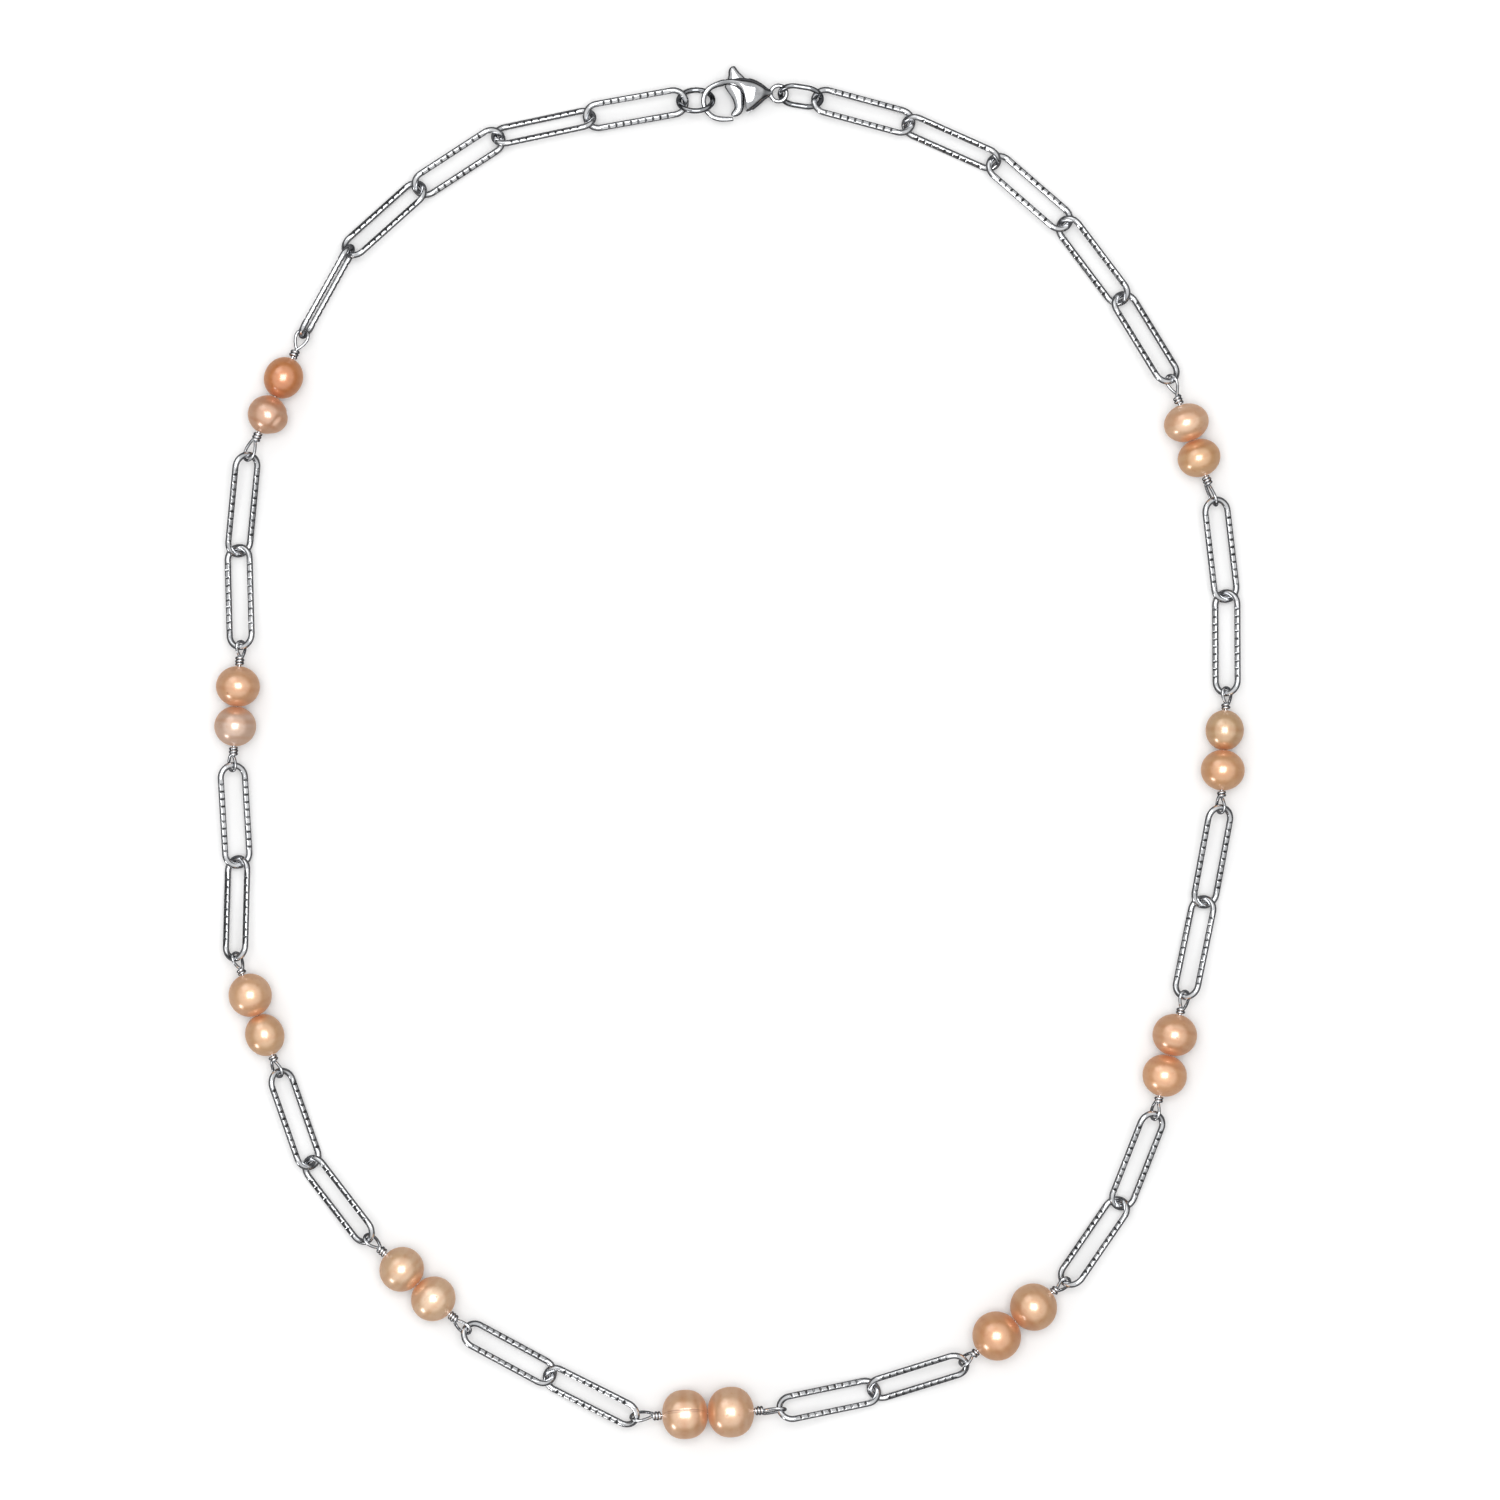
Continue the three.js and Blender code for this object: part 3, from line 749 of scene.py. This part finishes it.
# From the lever's wedge tip over its band and pivot to its thumb nub, in the same way.
LEVER_SECTIONS = [
    ((1.98, -2.1), (1.6, -1.86), 0.36), ((2.6, -1.97), (1.72, -1.5), 0.4),
    ((3.12, -1.5), (2.0, -1.05), 0.44),
    ((3.38, -0.7), (2.06, -0.6), 0.45), ((3.4, 0.2), (1.85, 0.1), 0.45), ((3.45, 1.2), (1.45, 0.8), 0.45),
    ((3.5, 2.2), (0.95, 1.45), 0.45), ((3.45, 3.1), (0.65, 2.1), 0.45), ((3.0, 3.62), (1.0, 3.0), 0.45),
    ((2.6, 3.98), (1.12, 3.55), 0.48), ((2.3, 4.35), (1.1, 4.05), 0.5), ((2.08, 4.66), (1.24, 4.48), 0.42),
    ((1.9, 4.84), (1.5, 4.74), 0.25),
]
SLOT_OUTLINE = [
    (0.4, 0.8), (0.7, 3.8), (3.9, 3.8), (4.0, 2.7), (5.1, 1.9), (5.2, 0.5), (4.6, -0.5), (4.55, -2.4),
    (2.0, -2.4),
]


def spline(points, steps, closed):
    """A smooth curve through the points, with this many steps between two of them."""
    points = np.asarray(points, float)
    count = len(points)
    out = []
    for i in range(count if closed else count - 1):
        if closed:
            before, here, there, after = (points[(i + k) % count] for k in (-1, 0, 1, 2))
        else:
            before, here, there, after = (points[min(max(i + k, 0), count - 1)] for k in (-1, 0, 1, 2))
        for step in range(steps):
            t = step / steps
            out.append(0.5 * (
                2 * here + (there - before) * t + (2 * before - 5 * here + 4 * there - after) * t * t
                + (3 * here - before - 3 * there + after) * t ** 3
            ))
    if not closed:
        out.append(points[-1])
    return np.array(out)


def plate_shape(outline, thickness):
    """Vertices and faces of a flat plate with this outline, its thickness centred on Z = 0."""
    count = len(outline)
    vertices = [(x, y, -thickness / 2) for x, y in outline] + [(x, y, thickness / 2) for x, y in outline]
    faces = [tuple(range(count - 1, -1, -1)), tuple(range(count, 2 * count))]
    for k in range(count):
        m = (k + 1) % count
        faces.append((k, m, count + m, count + k))
    return np.array(vertices), faces


def loft_shape(sections, fullness=2.0, lean=0.0, sides=40):
    """Vertices and faces of a body through sections, each an oval between two points.

    More fullness makes the oval boxier; the lean moves its ridge towards its outer point.
    """
    rows = spline([(*outer, *inner, half) for outer, inner, half in sections], 6, False)
    vertices = []
    for x0, y0, x1, y1, half in rows:
        middle = np.array(((x0 + x1) / 2, (y0 + y1) / 2))
        across = np.array((x0 - x1, y0 - y1)) / 2
        for k in range(sides):
            angle = 2 * math.pi * k / sides
            c, s = math.cos(angle), math.sin(angle)
            u = math.copysign(abs(c) ** (2 / fullness), c)
            v = math.copysign(abs(s) ** (2 / fullness), s)
            flat = middle + across * (u + lean * v * v * (1 - abs(u)))
            vertices.append((flat[0], flat[1], half * v))
    return np.array(vertices), capped_faces(len(rows), sides)


def torus_shape(centre, bend, radius, steps=48, sides=18):
    """Vertices and faces of a round ring in the drawing plane."""
    vertices = []
    for i in range(steps):
        around = 2 * math.pi * i / steps
        for k in range(sides):
            angle = 2 * math.pi * k / sides
            reach = bend + radius * math.cos(angle)
            x = centre[0] + reach * math.cos(around)
            y = centre[1] + reach * math.sin(around)
            vertices.append((x, y, radius * math.sin(angle)))
    return np.array(vertices), ring_faces(steps, sides, True)


def apply_modifier(obj, kind, **settings):
    modifier = obj.modifiers.new(kind, kind)
    for key, value in settings.items():
        setattr(modifier, key, value)
    bpy.context.view_layer.objects.active = obj
    bpy.ops.object.modifier_apply(modifier=modifier.name)


def clasp_piece(name, local, shapes, cutters, smooth_rounds):
    """One body from overlapping shapes, less the cutters, with softened edges."""
    vertices, faces = [], []
    for shape_vertices, shape_faces in shapes:
        start = len(vertices)
        vertices.extend(shape_vertices)
        faces.extend(tuple(index + start for index in face) for face in shape_faces)
    obj = add_object(name, np.array(vertices), faces, CLASP_STEEL)
    apply_modifier(obj, "REMESH", mode="VOXEL", voxel_size=CLASP_VOXEL)
    for cutter_vertices, cutter_faces in cutters:
        cutter = add_object(name + "_cutter", cutter_vertices, cutter_faces, CLASP_STEEL)
        apply_modifier(obj, "BOOLEAN", operation="DIFFERENCE", object=cutter, solver="EXACT")
        bpy.data.objects.remove(cutter)
    if cutters:
        apply_modifier(obj, "REMESH", mode="VOXEL", voxel_size=CLASP_VOXEL)
    apply_modifier(obj, "SMOOTH", factor=0.5, iterations=smooth_rounds)
    count = len(obj.data.vertices)
    points = np.empty(count * 3)
    obj.data.vertices.foreach_get("co", points)
    placed = local.out(points.reshape(-1, 3) * MM)
    obj.data.vertices.foreach_set("co", placed.reshape(-1))
    finish_mesh(obj, CLASP_STEEL)
    return obj


def build_clasp():
    local = clasp_frame()
    shell = loft_shape(CLASP_SECTIONS, fullness=2.6, lean=0.3)
    eye = torus_shape(TAIL_EYE, TAIL_EYE_BEND, TAIL_EYE_WIRE / 2 * WIRE_FIT)
    slot = plate_shape(SLOT_OUTLINE, SLOT_WIDTH)
    body = clasp_piece("clasp_body_shell", local, [shell, eye], [slot], smooth_rounds=4)
    place(body, "clasp_body")
    lever = clasp_piece("clasp_lever_arm", local, [loft_shape(LEVER_SECTIONS)], [], smooth_rounds=5)
    place(lever, "clasp_lever")
    build_pin(local)
    build_spring(local)


def build_pin(local):
    """The pin, a little domed at its ends."""
    path = [(*PIVOT, z) for z in np.linspace(-PIN_LENGTH / 2, PIN_LENGTH / 2, 24)]
    vertices, faces = tube(np.array(path), PIN_RADIUS, 28)
    obj = add_object("clasp_pin_rod", local.out(vertices * MM), faces, CLASP_STEEL, 50)
    return place(obj, "clasp_pin")


def build_spring(local):
    """The coil behind the lever."""
    path = []
    for t in np.linspace(0, 1, 40 * SPRING_TURNS):
        angle = 2 * math.pi * SPRING_TURNS * t
        coil = (SPRING_LENGTH * t, SPRING_BEND * math.cos(angle), SPRING_BEND * math.sin(angle))
        path.append(SPRING_START + np.array(coil))
    vertices, faces = tube(np.array(path), SPRING_WIRE / 2, 10)
    obj = add_object("clasp_spring_coil", local.out(vertices * MM), faces, SPRING_STEEL)
    place(obj, "clasp_spring")
    far_end = local.out((SPRING_START + (SPRING_LENGTH, 0, 0)) * MM)
    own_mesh(obj)


# ---------------------------------------------------------------- assembly

link_nodes = sorted(name for name in frame["nodes"] if name.startswith("link_"))
for number, link_node in enumerate(link_nodes):
    build_link(link_node, (number * LINK_PHASE_STEP) % 1.0)
for ring_node in ("hook_ring", "tail_ring"):
    build_ring(ring_node)
build_station("front", ["pearl_front_left", "pearl_front_right"], "pearl_wire_front")
for arm in ("left", "right"):
    for number in range(1, 5):
        key = f"{arm}_{number}"
        build_station(key, [f"pearl_{key}_lower", f"pearl_{key}_upper"], f"pearl_wire_{key}")
build_clasp()

# ---------------------------------------------------------------- floor, light and camera

TABLE_HALF = 2.5
TABLE_REFLECTED = (0.12, 0.12, 0.125, 1)
SKY = ((0.0, 0.02), (0.28, 0.07), (0.44, 0.5), (0.58, 0.95), (1.0, 1.0))  # brightness by height
SKY_STRENGTH = 0.84
LAMPS = (  # name, place and size in metres, power in watts; each looks at the middle of the table
    ("key", (0, 0.05, 1.4), 0.82, 11),
    ("side", (-0.7, 1.0, 1.0), 0.9, 2),
    ("low", (-0.8, -0.95, 0.2), 0.3, 2),
)
CAMERA_HEIGHT = 1.2  # above the middle of a pearl
CAMERA_VIEW = 204.8  # width that it sees at that height, in millimetres
CAMERA_PLACE = (2.8, 0.25, 3)  # what it hangs over, in millimetres
SENSOR = 36


def build_floor():
    """A pale table. It shows darker in reflections, as if the room around it were dim."""
    half = TABLE_HALF
    corners = [(-half, -half, 0), (half, -half, 0), (half, half, 0), (-half, half, 0)]
    made = Nodes("pale_table")
    shade = made.spread(made.noise(3, 2.0), 0.3, 0.7)
    white = made.mix(shade, (0.9, 0.9, 0.9, 1), (0.88, 0.88, 0.88, 1))
    reflected = made.add("ShaderNodeLightPath").outputs["Is Glossy Ray"]
    made.link(made.mix(reflected, white, TABLE_REFLECTED), made.shader.inputs["Base Color"])
    made.shader.inputs["Roughness"].default_value = 0.85
    made.shader.inputs["Specular IOR Level"].default_value = 0.1
    floor = add_object("table_top", corners, [(0, 1, 2, 3)], made.material)


def add_lamp(name, position, size, power):
    data = bpy.data.lights.new(name, "AREA")
    data.shape = "SQUARE"
    data.size = size
    data.energy = power
    lamp = bpy.data.objects.new(name, data)
    SCENE.collection.objects.link(lamp)
    lamp.location = position
    lamp.rotation_euler = (-Vector(position)).to_track_quat("-Z", "Y").to_euler()


def build_world():
    """Soft light from above that darkens towards the horizon, as a studio with dark walls gives."""
    world = bpy.data.worlds.new("studio")
    SCENE.world = world
    world.use_nodes = True
    tree = world.node_tree
    tree.nodes.clear()
    output = tree.nodes.new("ShaderNodeOutputWorld")
    background = tree.nodes.new("ShaderNodeBackground")
    ramp = tree.nodes.new("ShaderNodeValToRGB")
    split = tree.nodes.new("ShaderNodeSeparateXYZ")
    direction = tree.nodes.new("ShaderNodeTexCoord")
    tree.links.new(direction.outputs["Generated"], split.inputs["Vector"])
    tree.links.new(split.outputs["Z"], ramp.inputs["Fac"])
    tree.links.new(ramp.outputs["Color"], background.inputs["Color"])
    tree.links.new(background.outputs["Background"], output.inputs["Surface"])
    for up, _ in SKY[1:-1]:
        ramp.color_ramp.elements.new(up)
    for element, (up, value) in zip(ramp.color_ramp.elements, SKY):
        element.position = up
        element.color = (value, value, value, 1)
    background.inputs["Strength"].default_value = SKY_STRENGTH


def build_camera():
    """Straight above the necklace, far off, so that it hardly narrows with height."""
    x, y, z = CAMERA_PLACE
    data = bpy.data.cameras.new("camera")
    data.sensor_width = SENSOR
    data.lens = SENSOR * CAMERA_HEIGHT / (CAMERA_VIEW * MM)
    camera = bpy.data.objects.new("camera", data)
    SCENE.collection.objects.link(camera)
    camera.location = (x * MM, y * MM, CAMERA_HEIGHT + z * MM)
    SCENE.camera = camera


build_floor()
build_world()
for lamp_name, lamp_place, lamp_size, lamp_power in LAMPS:
    add_lamp(lamp_name, lamp_place, lamp_size, lamp_power)
build_camera()
SCENE.view_settings.view_transform = "Standard"
